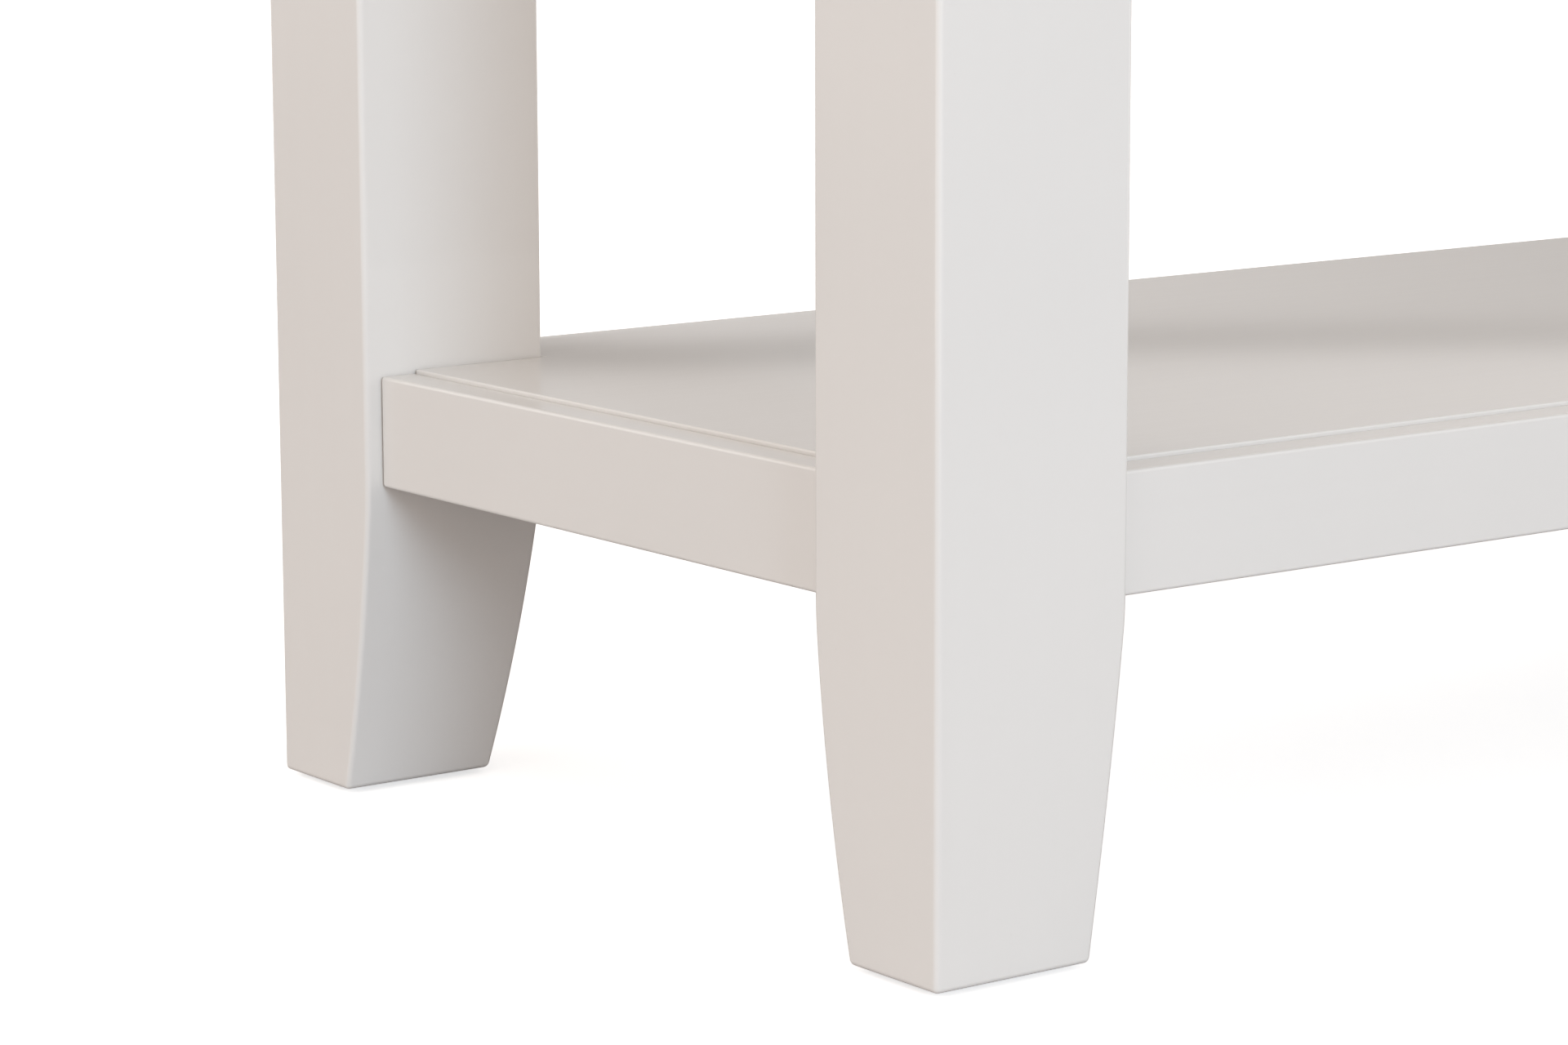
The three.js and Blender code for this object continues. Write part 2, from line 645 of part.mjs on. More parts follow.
// A mushroom knob: a small base, a hollow-curved neck and a low domed head, with a blind hole.
function knob() {
  const outline = new THREE.Path();
  const hole = SCREW_RADIUS + SCREW_CLEARANCE;
  const headEdge = KNOB_HEAD_RADIUS - KNOB_HEAD_EASE;
  const easeHeight = (KNOB_HEAD_UNDERSIDE + KNOB_HEAD_WIDEST) / 2;
  outline.moveTo(0, KNOB_HOLE_DEPTH);
  outline.lineTo(hole, KNOB_HOLE_DEPTH);
  outline.lineTo(hole, 0);
  outline.lineTo(KNOB_BASE_RADIUS, 0);
  outline.lineTo(KNOB_BASE_RADIUS, KNOB_BASE_THICKNESS);
  outline.quadraticCurveTo(KNOB_NECK_RADIUS, 2 * KNOB_BASE_THICKNESS, KNOB_NECK_RADIUS, KNOB_NECK_MIDDLE);
  outline.quadraticCurveTo(KNOB_NECK_RADIUS, KNOB_HEAD_UNDERSIDE, headEdge, KNOB_HEAD_UNDERSIDE);
  outline.quadraticCurveTo(KNOB_HEAD_RADIUS, easeHeight, KNOB_HEAD_RADIUS, KNOB_HEAD_WIDEST);
  outline.quadraticCurveTo(headEdge, KNOB_LENGTH, 0, KNOB_LENGTH);
  const geometry = new THREE.LatheGeometry(outline.getPoints(KNOB_CURVE_STEPS), KNOB_SEGMENTS);
  return geometry.rotateX(Math.PI).translate(0, -railFaceY - GAP, knobHeight);
}

// It starts behind the drawer front and ends inside the knob.
function knobScrew() {
  const geometry = screw(KNOB_SCREW_LENGTH);
  return geometry.rotateX(Math.PI / 2).translate(0, drawerFrontBackY + GAP + SCREW_HEAD_HEIGHT, knobHeight);
}

// A turn button with round ends, upright at rest, so that its upper end meets the upper rail.
function catchButton() {
  const radius = CATCH_WIDTH / 2;
  const reach = CATCH_LENGTH / 2 - radius;
  const outline = new THREE.Shape();
  outline.absarc(0, reach, radius, 0, Math.PI, false);
  outline.absarc(0, -reach, radius, Math.PI, 2 * Math.PI, false);
  const hole = new THREE.Path();
  hole.absarc(0, 0, SCREW_RADIUS + SCREW_CLEARANCE, 0, 2 * Math.PI, true);
  outline.holes.push(hole);
  const geometry = new THREE.ExtrudeGeometry(outline, {
    depth: CATCH_THICKNESS,
    bevelEnabled: false,
    curveSegments: CATCH_CURVE_STEPS,
  });
  return geometry.rotateX(Math.PI / 2).translate(0, drawerBackFrontY - GAP, catchHeight);
}

function catchScrew() {
  const geometry = screw(CATCH_SCREW_LENGTH);
  return geometry.rotateX(-Math.PI / 2).translate(0, catchScrewStart, catchHeight);
}

function addDrawer(parent, side, signX) {
  const drawer = new THREE.Group();
  drawer.position.x = signX * drawerCentreX;
  parent.add(drawer);
  const prefix = `drawer_${side}`;
  piece(drawer, `${prefix}_front`, drawerFront(), paint);
  piece(drawer, `${prefix}_side_left`, drawerSide(-1), bareWood);
  piece(drawer, `${prefix}_side_right`, drawerSide(1), bareWood);
  piece(drawer, `${prefix}_back`, drawerBack(), bareWood);
  piece(drawer, `${prefix}_bottom`, drawerBottom(), plywood);
  piece(drawer, `${prefix}_knob`, knob(), brushedSteel);
  piece(drawer, `${prefix}_knob_screw`, knobScrew(), screwSteel);
  piece(drawer, `${prefix}_catch`, catchButton(), bareWood);
  piece(drawer, `${prefix}_catch_screw`, catchScrew(), screwSteel);
}

// ---- The table ----

const table = new THREE.Group();
addLegs(table);
addAprons(table);
addFrontRails(table);
addRunners(table);
addKickers(table);
addDrawerStops(table);
addTop(table);
addShelfRails(table);
addShelfPanel(table);
addBattens(table);
addDrawer(table, "left", -1);
addDrawer(table, "right", 1);

export default table;
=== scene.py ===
# Looks for a painted console table: two drawers under the top and a low framed shelf.
# Everything is in metres, in the CAD model's frame: +Z up, drawers open towards -Y.
import json
import math

import bmesh
import bpy
from mathutils import Matrix, Vector


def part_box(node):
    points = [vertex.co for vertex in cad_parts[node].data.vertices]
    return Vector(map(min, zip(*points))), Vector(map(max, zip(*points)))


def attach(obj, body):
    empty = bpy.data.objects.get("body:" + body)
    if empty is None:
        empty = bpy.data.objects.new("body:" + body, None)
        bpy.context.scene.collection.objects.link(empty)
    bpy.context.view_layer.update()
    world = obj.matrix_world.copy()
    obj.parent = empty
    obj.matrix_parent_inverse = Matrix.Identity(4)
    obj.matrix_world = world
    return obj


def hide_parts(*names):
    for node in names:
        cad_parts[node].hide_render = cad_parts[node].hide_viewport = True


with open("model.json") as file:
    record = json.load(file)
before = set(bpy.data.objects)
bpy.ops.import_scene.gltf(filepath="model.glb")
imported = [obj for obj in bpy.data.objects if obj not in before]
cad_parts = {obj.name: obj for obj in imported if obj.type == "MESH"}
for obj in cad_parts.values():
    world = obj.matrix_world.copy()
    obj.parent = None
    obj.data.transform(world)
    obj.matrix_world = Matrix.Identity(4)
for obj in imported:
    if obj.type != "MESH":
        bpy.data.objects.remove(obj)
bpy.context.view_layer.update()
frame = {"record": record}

MM = 0.001
RECORD = frame["record"]
BODY_OF = {node: body for body, nodes in RECORD["behaviour"]["bodies"].items() for node in nodes}
SLOT_OF = {row["node"]: row["material_slot"] for row in RECORD["subparts"]}

# ---- Driving sizes of the visible surface ----

JOINT = 0.3 * MM  # between two pieces that touch
FILLED_JOINT = 0.06 * MM  # where paint has nearly closed it
LEG_ARRIS = 1.4 * MM  # radius along a leg's edges
FOOT_ARRIS = 1.3 * MM
RAIL_ARRIS = 0.9 * MM
PANEL_ARRIS = 0.5 * MM
BOARD_ARRIS = 1.1 * MM
TOP_ARRIS = 3.0 * MM
BARE_ARRIS = 0.6 * MM  # on unpainted wood
PLYWOOD_ARRIS = 0.3 * MM
CATCH_ARRIS = 1.2 * MM

TAPER_TOP = 81 * MM  # height where a leg's two inner faces start to taper
TAPER_ACROSS = 10 * MM  # how much narrower the foot is, along X
TAPER_DEEP = 13 * MM  # how much shallower the foot is, along Y
TAPER_SOFT = 5 * MM  # the taper's start is softened over this height, above and below
CURVE_ACROSS = 0.2  # how far each taper bows, from 0, straight, to 1, a parabola
CURVE_DEEP = 0.5
NOTCH_GAP = 0.5 * MM  # between the shelf panel and each leg
GUIDE_CLEARANCE = 1.3 * MM  # between a drawer's side and its guide

# ---- Places, all worked out from the CAD nodes ----

leg_low, leg_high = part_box("leg_front_left")
LEG_WIDTH = leg_high.x - leg_low.x
LEG_DEPTH = leg_high.y - leg_low.y
HALF_X = -leg_low.x
HALF_Y = -leg_low.y
INNER_X = -leg_high.x
INNER_Y = -leg_high.y
LEG_BOTTOM = leg_low.z
LEG_TOP = leg_high.z


# ---- Node helpers ----


class Graph:
    """Adds shader nodes to one material or world and links them."""

    def __init__(self, tree):
        self.tree = tree

    def node(self, kind, **settings):
        made = self.tree.nodes.new(kind)
        for name, value in settings.items():
            setattr(made, name, value)
        return made

    def link(self, source, target):
        self.tree.links.new(source, target)

    def feed(self, socket, value):
        """Sets a socket to a number or a colour, or links another node's output to it."""
        if isinstance(value, (int, float)):
            socket.default_value = value
        elif isinstance(value, tuple):
            socket.default_value = (*value, 1.0) if len(socket.default_value) == 4 else value
        else:
            self.link(value, socket)

    def place(self, scale=(1, 1, 1)):
        """Object coordinates, scaled along each axis."""
        coordinates = self.node("ShaderNodeTexCoord")
        mapping = self.node("ShaderNodeMapping")
        mapping.inputs["Scale"].default_value = scale
        self.link(coordinates.outputs["Object"], mapping.inputs["Vector"])
        return mapping.outputs["Vector"]

    def noise(self, vector, scale=1.0, detail=2.0, roughness=0.5, distortion=0.0):
        made = self.node("ShaderNodeTexNoise")
        made.inputs["Scale"].default_value = scale
        made.inputs["Detail"].default_value = detail
        made.inputs["Roughness"].default_value = roughness
        made.inputs["Distortion"].default_value = distortion
        self.link(vector, made.inputs["Vector"])
        return made.outputs["Fac"]

    def remap(self, value, low, high, to_low=0.0, to_high=1.0, smooth=False):
        made = self.node("ShaderNodeMapRange")
        made.interpolation_type = "SMOOTHSTEP" if smooth else "LINEAR"
        made.inputs["From Min"].default_value = low
        made.inputs["From Max"].default_value = high
        made.inputs["To Min"].default_value = to_low
        made.inputs["To Max"].default_value = to_high
        self.link(value, made.inputs["Value"])
        return made.outputs["Result"]

    def math(self, operation, first, second=0.0):
        made = self.node("ShaderNodeMath", operation=operation)
        self.feed(made.inputs[0], first)
        self.feed(made.inputs[1], second)
        return made.outputs["Value"]

    def blend(self, share, first, second):
        """first where share is 0, second where it is 1, for numbers."""
        made = self.node("ShaderNodeMix", data_type="FLOAT")
        self.feed(made.inputs[0], share)
        self.feed(made.inputs[2], first)
        self.feed(made.inputs[3], second)
        return made.outputs[0]

    def mix(self, share, first, second, mode="MIX"):
        """The same for colours."""
        made = self.node("ShaderNodeMix", data_type="RGBA", blend_type=mode)
        self.feed(made.inputs[0], share)
        self.feed(made.inputs[6], first)
        self.feed(made.inputs[7], second)
        return made.outputs[2]

    def bump(self, height, strength, distance, before=None):
        made = self.node("ShaderNodeBump")
        made.inputs["Strength"].default_value = strength
        made.inputs["Distance"].default_value = distance
        self.link(height, made.inputs["Height"])
        if before is not None:
            self.link(before, made.inputs["Normal"])
        return made.outputs["Normal"]

    def facing(self, axis):
        """How far the surface looks along a world axis, from -1 to 1."""
        split = self.node("ShaderNodeSeparateXYZ")
        self.link(self.node("ShaderNodeNewGeometry").outputs["Normal"], split.inputs["Vector"])
        return split.outputs[axis]

    def near_edge(self, distance, inside):
        """1 beside a convex edge when inside is set, else 1 in a crease; 0 on a plain face."""
        made = self.node("ShaderNodeAmbientOcclusion", samples=6, inside=inside, only_local=inside)
        made.inputs["Distance"].default_value = distance
        return self.remap(made.outputs["AO"], 0.35, 0.9, 1.0, 0.0, smooth=True)


def new_material(name):
    material = bpy.data.materials.new(name)
    material.use_nodes = True
    return material, Graph(material.node_tree), material.node_tree.nodes["Principled BSDF"]


def along(axis, across_scale, along_scale):
    """Texture scales that stretch a pattern along one axis."""
    return tuple(along_scale if letter == axis else across_scale for letter in "xyz")


# ---- Materials ----


def make_paint(axis):
    """Satin off-white paint over close-grained wood, brushed along the piece."""
    deep, pale = (0.792, 0.769, 0.744), (0.806, 0.782, 0.756)
    grain_tone, speck_tone = (0.70, 0.665, 0.625), (0.52, 0.47, 0.42)
    highlight_and_wear_tone, chip_tone, dirt_and_shade_tone = (0.95, 0.94, 0.895), (0.50, 0.40, 0.32), (0.42, 0.36, 0.31)
    edge_reach = 1.6 * MM
    relief = 0.2 * MM

    material, g, shader = new_material("paint_" + axis)
    mottle = g.noise(g.place(), scale=9.0, detail=3.0)
    grain = g.noise(g.place(along(axis, across_scale=190, along_scale=4)), detail=2.0)
    strokes = g.noise(g.place(along(axis, across_scale=520, along_scale=11)), detail=1.0)
    peel = g.noise(g.place(), scale=380.0, detail=1.0)
    specks = g.noise(g.place(), scale=1500.0, detail=1.0)

    tone = g.mix(g.remap(mottle, 0.35, 0.65), deep, pale)
    tone = g.mix(g.remap(grain, 0.3, 0.7, 0.0, 0.03), tone, grain_tone)
    tone = g.mix(g.remap(specks, 0.76, 0.82, 0.0, 0.08), tone, speck_tone)
    # Painted highlight: convex arrises of the paint are lightened towards a pale tone, most where they
    # face up towards the light.
    edge = g.near_edge(edge_reach, True)
    chips = g.remap(g.noise(g.place(), scale=85.0, detail=2.0), 0.69, 0.72, 0.0, 0.35)
    painted_highlight_share = g.remap(g.facing("Z"), 0.15, 0.6, 0.13, 0.5)  # painted highlight, stronger on arrises that look up towards the light
    tone = g.mix(g.math("MULTIPLY", edge, painted_highlight_share), tone, highlight_and_wear_tone)
    tone = g.mix(g.math("MULTIPLY", edge, chips), tone, chip_tone)
    # Painted shade, with some dust: creases and joints in the paint are darkened towards a brown-grey.
    tone = g.mix(g.math("MULTIPLY", g.near_edge(edge_reach, False), 0.07), tone, dirt_and_shade_tone)
    g.link(tone, shader.inputs["Base Color"])

    rough = g.remap(strokes, 0.3, 0.7, 0.31, 0.36)
    uneven = g.remap(mottle, 0.3, 0.7, -0.01, 0.02)
    g.link(g.math("ADD", rough, uneven), shader.inputs["Roughness"])
    shader.inputs["Specular IOR Level"].default_value = 0.45
    shader.inputs["Coat Weight"].default_value = 0.6
    shader.inputs["Coat Roughness"].default_value = 0.04
    height = g.math("ADD", g.math("MULTIPLY", strokes, 0.4), grain)
    brushed = g.bump(height, 0.05, relief)
    g.link(g.bump(peel, 0.03, relief, brushed), shader.inputs["Normal"])
    return material


def make_pine(axis):
    """Bare planed pine: growth rings that wander along the piece, with fine fibres and pores."""
    pale, warm = (0.66, 0.48, 0.28), (0.60, 0.42, 0.23)
    late_tone, fibre_tone, pore_tone = (0.42, 0.245, 0.11), (0.36, 0.22, 0.11), (0.26, 0.15, 0.07)
    highlight_and_wear_tone, dirt_and_shade_tone = (0.74, 0.58, 0.38), (0.20, 0.13, 0.08)
    ring_count = 62.0

    material, g, shader = new_material("pine_" + axis)
    wander = g.noise(g.place(along(axis, across_scale=9, along_scale=1.6)), detail=2.0)
    drift = g.noise(g.place(along(axis, across_scale=3, along_scale=0.5)))
    rings = g.math("SINE", g.math("MULTIPLY", g.math("ADD", wander, drift), ring_count))
    late = g.remap(rings, 0.1, 0.95, 0.0, 1.0, smooth=True)
    fibres = g.noise(g.place(along(axis, across_scale=1100, along_scale=26)), detail=2.0)
    pores = g.noise(g.place(along(axis, across_scale=700, along_scale=30)), detail=1.0)
    cloud = g.noise(g.place(), scale=12.0, detail=2.0)

    tone = g.mix(g.remap(cloud, 0.3, 0.7), pale, warm)
    tone = g.mix(g.math("MULTIPLY", late, 0.55), tone, late_tone)
    tone = g.mix(g.remap(fibres, 0.35, 0.7, 0.0, 0.22), tone, fibre_tone)
    tone = g.mix(g.remap(pores, 0.68, 0.75, 0.0, 0.5), tone, pore_tone)
    tone = g.mix(g.math("MULTIPLY", g.near_edge(1.0 * MM, True), 0.35), tone, highlight_and_wear_tone)
    # Painted shade, with some dirt: creases in the bare pine are darkened towards a dark brown.
    tone = g.mix(g.math("MULTIPLY", g.near_edge(3.0 * MM, False), 0.4), tone, dirt_and_shade_tone)
    g.link(tone, shader.inputs["Base Color"])
    g.link(g.remap(late, 0.0, 1.0, 0.62, 0.50), shader.inputs["Roughness"])
    height = g.math("ADD", g.math("MULTIPLY", fibres, 0.5), g.math("MULTIPLY", late, 0.4))
    g.link(g.bump(height, 0.3, 0.2 * MM), shader.inputs["Normal"])
    return material


def make_plywood():
    """Sanded birch plywood, with its plies on the edges."""
    pale, warm, fibre_tone = (0.72, 0.57, 0.39), (0.62, 0.465, 0.29), (0.46, 0.33, 0.20)
    ply_pale, ply_dark = (0.66, 0.50, 0.32), (0.38, 0.25, 0.14)
    ply_pair = 2.0 * MM  # thickness of two plies

    material, g, shader = new_material("plywood")
    figure = g.noise(g.place((2.2, 16, 16)), detail=3.0, distortion=0.8)
    fibres = g.noise(g.place((24, 900, 900)), detail=2.0)
    face = g.mix(g.remap(figure, 0.3, 0.7), pale, warm)
    face = g.mix(g.remap(fibres, 0.4, 0.7, 0.0, 0.25), face, fibre_tone)
    split = g.node("ShaderNodeSeparateXYZ")
    g.link(g.place(), split.inputs["Vector"])
    plies = g.math("SINE", g.math("MULTIPLY", split.outputs["Z"], math.tau / ply_pair))
    edge = g.mix(g.remap(plies, -0.3, 0.3, smooth=True), ply_pale, ply_dark)
    flat = g.remap(g.math("ABSOLUTE", g.facing("Z")), 0.6, 0.8)
    g.link(g.mix(flat, edge, face), shader.inputs["Base Color"])
    g.link(g.remap(fibres, 0.3, 0.7, 0.5, 0.62), shader.inputs["Roughness"])
    g.link(g.bump(fibres, 0.2, 0.15 * MM), shader.inputs["Normal"])
    return material


def make_steel(name, color, rough, scratches):
    """Steel with fine lines; scratches gives their scale along X, Y and Z."""
    dull = tuple(0.8 * share for share in color)
    grime_and_shade_tone = (0.06, 0.055, 0.05)
    material, g, shader = new_material(name)
    lines = g.noise(g.place(scratches), detail=3.0, roughness=0.6)
    cloud = g.noise(g.place(), scale=60.0, detail=3.0)
    tone = g.mix(g.remap(cloud, 0.35, 0.7), color, dull)
    # Painted shade, with some grime: creases in the steel are darkened almost to black.
    tone = g.mix(g.math("MULTIPLY", g.near_edge(0.8 * MM, False), 0.7), tone, grime_and_shade_tone)
    g.link(tone, shader.inputs["Base Color"])
    g.link(g.remap(lines, 0.3, 0.7, rough - 0.06, rough + 0.08), shader.inputs["Roughness"])
    shader.inputs["Metallic"].default_value = 1.0
    g.link(g.bump(lines, 0.12, 0.08 * MM), shader.inputs["Normal"])
    return material


def make_glide_plastic():
    """Grey plastic with a fine uneven surface."""
    pale, dark = (0.50, 0.48, 0.45), (0.41, 0.39, 0.36)
    material, g, shader = new_material("glide_plastic")
    cloud = g.noise(g.place(), scale=220.0, detail=4.0)
    g.link(g.mix(g.remap(cloud, 0.3, 0.7), pale, dark), shader.inputs["Base Color"])
    g.link(g.remap(cloud, 0.3, 0.7, 0.6, 0.75), shader.inputs["Roughness"])
    g.link(g.bump(cloud, 0.3, 0.15 * MM), shader.inputs["Normal"])
    return material


PAINT = {axis: make_paint(axis) for axis in "xyz"}
PINE = {axis: make_pine(axis) for axis in "xyz"}
OTHERS = {
    "plywood": make_plywood(),
    "knob_steel": make_steel("knob_steel", (0.62, 0.60, 0.57), 0.26, (90, 90, 2400)),
    "screw_steel": make_steel("screw_steel", (0.55, 0.54, 0.53), 0.36, (900, 900, 900)),
    "glide_plastic": make_glide_plastic(),
}
PREFIX = {"paint": "painted", "bare_wood": "pine", "plywood": "plywood", "glide_plastic": "plastic"}
PREFIX.update({"knob_steel": "steel", "screw_steel": "steel"})


def material_of(node, axis):
    """The material of a node's slot, with its grain along the axis if it is wood."""
    slot = SLOT_OF[node]
    if slot == "paint":
        return PAINT[axis]
    return PINE[axis] if slot == "bare_wood" else OTHERS[slot]


# ---- Ways of making a piece ----


def finish_piece(node, mesh, axis="x"):
    """Turns a finished mesh into the piece that stands for a CAD node, on the node's own body."""
    bmesh.ops.remove_doubles(mesh, verts=mesh.verts, dist=1e-7)
    bmesh.ops.recalc_face_normals(mesh, faces=mesh.faces)
    slot = SLOT_OF[node]
    name = f"{PREFIX[slot]}_{node}"
    data = bpy.data.meshes.new(name)
    mesh.to_mesh(data)
    mesh.free()
    data.materials.append(material_of(node, axis))
    for polygon in data.polygons:
        polygon.use_smooth = True
    piece = bpy.data.objects.new(name, data)
    bpy.context.collection.objects.link(piece)
    normals = piece.modifiers.new("even_normals", "WEIGHTED_NORMAL")
    normals.keep_sharp = True
    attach(piece, BODY_OF[node])
    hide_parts(node)


def round_edges(mesh, edges, radius, segments=4):
    bmesh.ops.bevel(
        mesh,
        geom=list(edges),
        offset=radius,
        offset_type="OFFSET",
        segments=segments,
        profile=0.5,
        affect="EDGES",
        clamp_overlap=True,
    )


def straight_piece(node, axis, outline, ends, arris, grain=None):
    """A section drawn in the other two axes, drawn out along one, with every outer arris rounded."""
    mesh = bmesh.new()
    rings = []
    for end in ends:
        points = []
        for first, second in outline:
            values = {"x": (end, first, second), "y": (first, end, second), "z": (first, second, end)}
            points.append(mesh.verts.new(values[axis]))
        rings.append(points)
        mesh.faces.new(points)
    for i in range(len(outline)):
        j = (i + 1) % len(outline)
        mesh.faces.new((rings[0][i], rings[0][j], rings[1][j], rings[1][i]))
    bmesh.ops.recalc_face_normals(mesh, faces=mesh.faces)
    sharp = math.radians(30)
    outer = [edge for edge in mesh.edges if edge.is_convex and edge.calc_face_angle() > sharp]
    round_edges(mesh, outer, arris)
    finish_piece(node, mesh, grain or axis)


def board(node, axis, arris, low=None, high=None):
    """A plain board with rounded arrises, as large as its CAD node unless low and high say otherwise."""
    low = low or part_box(node)[0]
    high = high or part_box(node)[1]
    first, second = [letter for letter in "xyz" if letter != axis]
    a, b = getattr(low, first), getattr(high, first)
    c, d = getattr(low, second), getattr(high, second)
    outline = [(a, c), (b, c), (b, d), (a, d)]
    ends = (getattr(low, axis), getattr(high, axis))
    straight_piece(node, axis, outline, ends, arris)


def curve(start, control, end, steps=10):
    """Points of a quadratic curve, without its first."""
    points = []
    for step in range(1, steps + 1):
        t = step / steps
        a, b, c = (1 - t) ** 2, 2 * t * (1 - t), t * t
        points.append(tuple(a * p + b * q + c * r for p, q, r in zip(start, control, end)))
    return points


def turned_mesh(outline, segments, lift=None):
    """A closed round mesh about +Z; lift, if given, moves each point up by lift(x, y, height)."""
    mesh = bmesh.new()
    rings = []
    for radius, height in outline:
        ring = []
        for i in range(segments if radius > 0 else 1):
            angle = math.tau * i / segments
            x, y = radius * math.cos(angle), radius * math.sin(angle)
            ring.append(mesh.verts.new((x, y, height + (lift(x, y, height) if lift else 0.0))))
        rings.append(ring)
    for lower, upper in zip(rings, rings[1:]):
        for i in range(segments):
            j = (i + 1) % segments
            corners = [lower[i % len(lower)], lower[j % len(lower)]]
            corners += [upper[j % len(upper)], upper[i % len(upper)]]
            mesh.faces.new(list(dict.fromkeys(corners)))
    return mesh


# ---- Legs and glides ----


def rounded_rectangle(x0, x1, y0, y1, radius, steps=5):
    """Points round a rectangle with round corners, anticlockwise."""
    points = []
    centres = [(x1 - radius, y1 - radius), (x0 + radius, y1 - radius)]
    centres += [(x0 + radius, y0 + radius), (x1 - radius, y0 + radius)]
    for quarter, (x, y) in enumerate(centres):
        for step in range(steps + 1):
            angle = math.radians(90 * (quarter + step / steps))
            points.append((x + radius * math.cos(angle), y + radius * math.sin(angle)))
    return points


def taper_share(height, bow):
    """How far a tapered face has moved in, as a share of its whole taper, with a soft start."""
    drop = TAPER_TOP - height
    if drop <= -TAPER_SOFT:
        return 0.0
    if drop < TAPER_SOFT:
        drop = (drop + TAPER_SOFT) ** 2 / (4 * TAPER_SOFT)
    down = drop / (TAPER_TOP - LEG_BOTTOM)
    return (1 - bow) * down + bow * down * down


def leg_levels():
    """Heights up a leg, with how far its faces draw in there for the rounded foot."""
    arc_steps = 5
    taper_steps = 22
    levels = []
    for step in range(arc_steps + 1):
        angle = math.radians(90 * step / arc_steps)
        height = LEG_BOTTOM + FOOT_ARRIS * (1 - math.cos(angle))
        levels.append((height, FOOT_ARRIS * (1 - math.sin(angle))))
    start = LEG_BOTTOM + FOOT_ARRIS
    length = TAPER_TOP + TAPER_SOFT - start
    levels += [(start + length * step / taper_steps, 0.0) for step in range(1, taper_steps + 1)]
    return levels + [(LEG_TOP, 0.0)]


def leg(end, side):
    """A leg with straight outer faces and two inner faces that taper towards the foot."""
    sign_x = -1 if side == "left" else 1
    sign_y = -1 if end == "front" else 1
    least_arris = 0.4 * MM
    mesh = bmesh.new()
    rings = []
    for height, inset in leg_levels():
        far = LEG_WIDTH - TAPER_ACROSS * taper_share(height, CURVE_ACROSS) - inset
        deep = LEG_DEPTH - TAPER_DEEP * taper_share(height, CURVE_DEEP) - inset
        arris = max(LEG_ARRIS - inset, least_arris)
        section = rounded_rectangle(inset, far, inset, deep, arris)
        points = [(sign_x * (HALF_X - in_x), sign_y * (HALF_Y - in_y), height) for in_x, in_y in section]
        rings.append([mesh.verts.new(point) for point in points])
    for lower, upper in zip(rings, rings[1:]):
        for i in range(len(lower)):
            j = (i + 1) % len(lower)
            mesh.faces.new((lower[i], lower[j], upper[j], upper[i]))
    mesh.faces.new(rings[0])
    mesh.faces.new(rings[-1])
    finish_piece(f"leg_{end}_{side}", mesh, "z")


def glide(end, side):
    """A thin disc with a rounded rim and a shallow dish underneath."""
    node = f"glide_{end}_{side}"
    low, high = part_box(node)
    radius = (high.x - low.x) / 2
    thick = high.z - low.z
    rim = 0.4 * thick
    dish = 0.25 * thick
    outline = [(0.0, dish), (0.35 * radius, dish), (0.45 * radius, 0.0), (radius - rim, 0.0)]
    outline += curve((radius - rim, 0.0), (radius, 0.0), (radius, rim), 4)
    outline += curve((radius, thick - rim), (radius, thick), (radius - rim, thick), 4)
    outline.append((0.0, thick))
    mesh = turned_mesh(outline, 40)
    centre = (low + high) / 2
    bmesh.ops.translate(mesh, vec=(centre.x, centre.y, low.z), verts=mesh.verts)
    finish_piece(node, mesh)


# ---- Boards and rails of the frame ----


def between_legs(node, axis):
    """A node's box, without the tenons that it hides in the legs."""
    low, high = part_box(node)
    inner = (INNER_X if axis == "x" else INNER_Y) - JOINT
    setattr(low, axis, -inner)
    setattr(high, axis, inner)
    return low, high


def make_upper_frame():
    for node in ("apron_left", "apron_right"):
        board(node, "y", BOARD_ARRIS, *between_legs(node, "y"))
    for node in ("apron_back", "front_rail_lower", "front_rail_upper"):
        board(node, "x", BOARD_ARRIS, *between_legs(node, "x"))
    board("drawer_divider", "z", BOARD_ARRIS)
    board("top_board", "x", TOP_ARRIS)
    for node in ("kicker_left", "kicker_center", "kicker_right"):
        board(node, "y", BARE_ARRIS)
    for node in ("drawer_stop_left", "drawer_stop_right"):
        board(node, "x", BARE_ARRIS)


def make_runners():
    """Each runner carries a drawer side on its ledge and guides it with its upright part."""
    ledge_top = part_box("drawer_right_side_right")[0].z - JOINT
    outer_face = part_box("drawer_right_side_right")[1].x + GUIDE_CLEARANCE
    low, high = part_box("drawer_runner_right")
    section = [(low.x, low.z), (high.x, low.z), (high.x, high.z), (outer_face, high.z)]
    section += [(outer_face, ledge_top), (low.x, ledge_top)]
    for node, sign in (("drawer_runner_right", 1), ("drawer_runner_left", -1)):
        straight_piece(node, "y", [(sign * x, z) for x, z in section], (low.y, high.y), BARE_ARRIS)
    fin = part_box("drawer_right_side_left")[0].x - GUIDE_CLEARANCE
    low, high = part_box("drawer_runner_center")
    half = [(high.x, low.z), (high.x, ledge_top), (fin, ledge_top), (fin, high.z)]
    section = half + [(-x, z) for x, z in reversed(half)]
    straight_piece("drawer_runner_center", "y", section, (low.y, high.y), BARE_ARRIS)


# ---- Shelf ----


def shelf_rail(node, axis, sign):
    """A rail with a step along its inner top edge, where the panel lies."""
    low, high = between_legs(node, axis)
    panel_low, panel_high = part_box("shelf_panel")
    across = "y" if axis == "x" else "x"
    near = [abs(getattr(corner, across)) for corner in (low, high)]
    inner, outer = min(near), max(near)
    step = getattr(panel_high, across) + FILLED_JOINT
    step_z = panel_low.z - JOINT
    section = [(inner, low.z), (outer, low.z), (outer, high.z)]
    section += [(step, high.z), (step, step_z), (inner, step_z)]
    ends = (getattr(low, axis), getattr(high, axis))
    straight_piece(node, axis, [(sign * place, z) for place, z in section], ends, RAIL_ARRIS)


